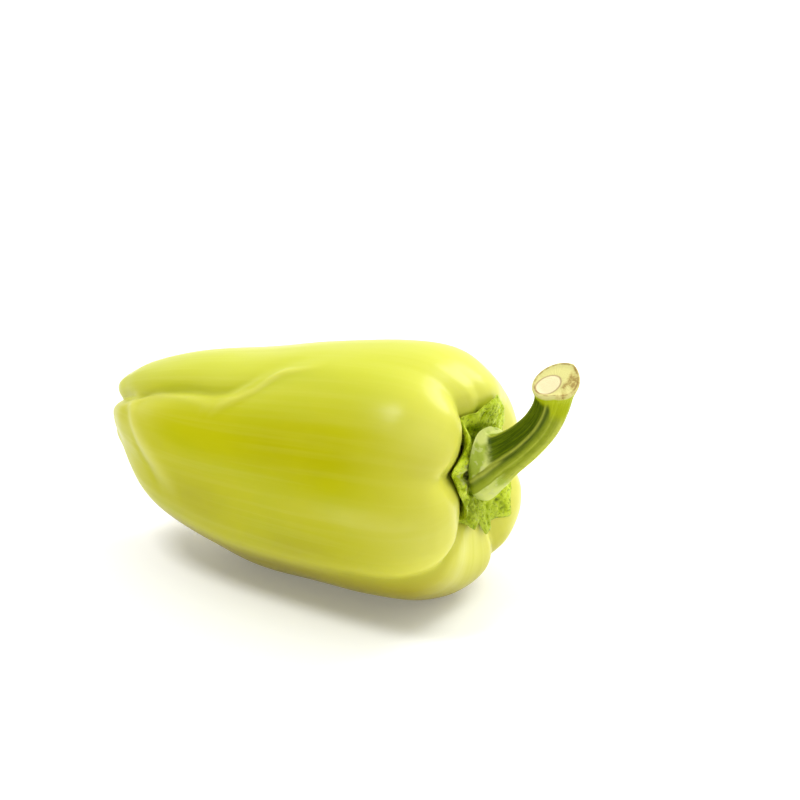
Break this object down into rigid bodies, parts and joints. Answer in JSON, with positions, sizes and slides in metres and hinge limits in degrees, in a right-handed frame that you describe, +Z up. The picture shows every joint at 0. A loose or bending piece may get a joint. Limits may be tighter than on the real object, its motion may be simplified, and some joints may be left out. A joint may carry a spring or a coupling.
{
  "type": "bell pepper",
  "caption": "Whole pale yellow-green sweet pepper lying on its side, with lobed tapering fruit, crumpled calyx and curved cut stem.",
  "frame": {"origin": "middle of the bounding box's base, on the surface that the pepper lies on", "axes": "+X from the blossom end towards the stem end, +Z up"},
  "size_m": [0.1464, 0.0731, 0.0756],
  "materials": {
    "fruit_skin": "smooth waxy skin, pale yellow-green, glossy",
    "calyx": "crumpled fresh green leaf tissue, satin",
    "stem": "ribbed green stalk with a pale base and a cream cut end, satin"
  },
  "bodies": {
    "root": {"fruit": "fruit_skin", "calyx": "calyx", "stem": "stem"}
  },
  "joints": []
}
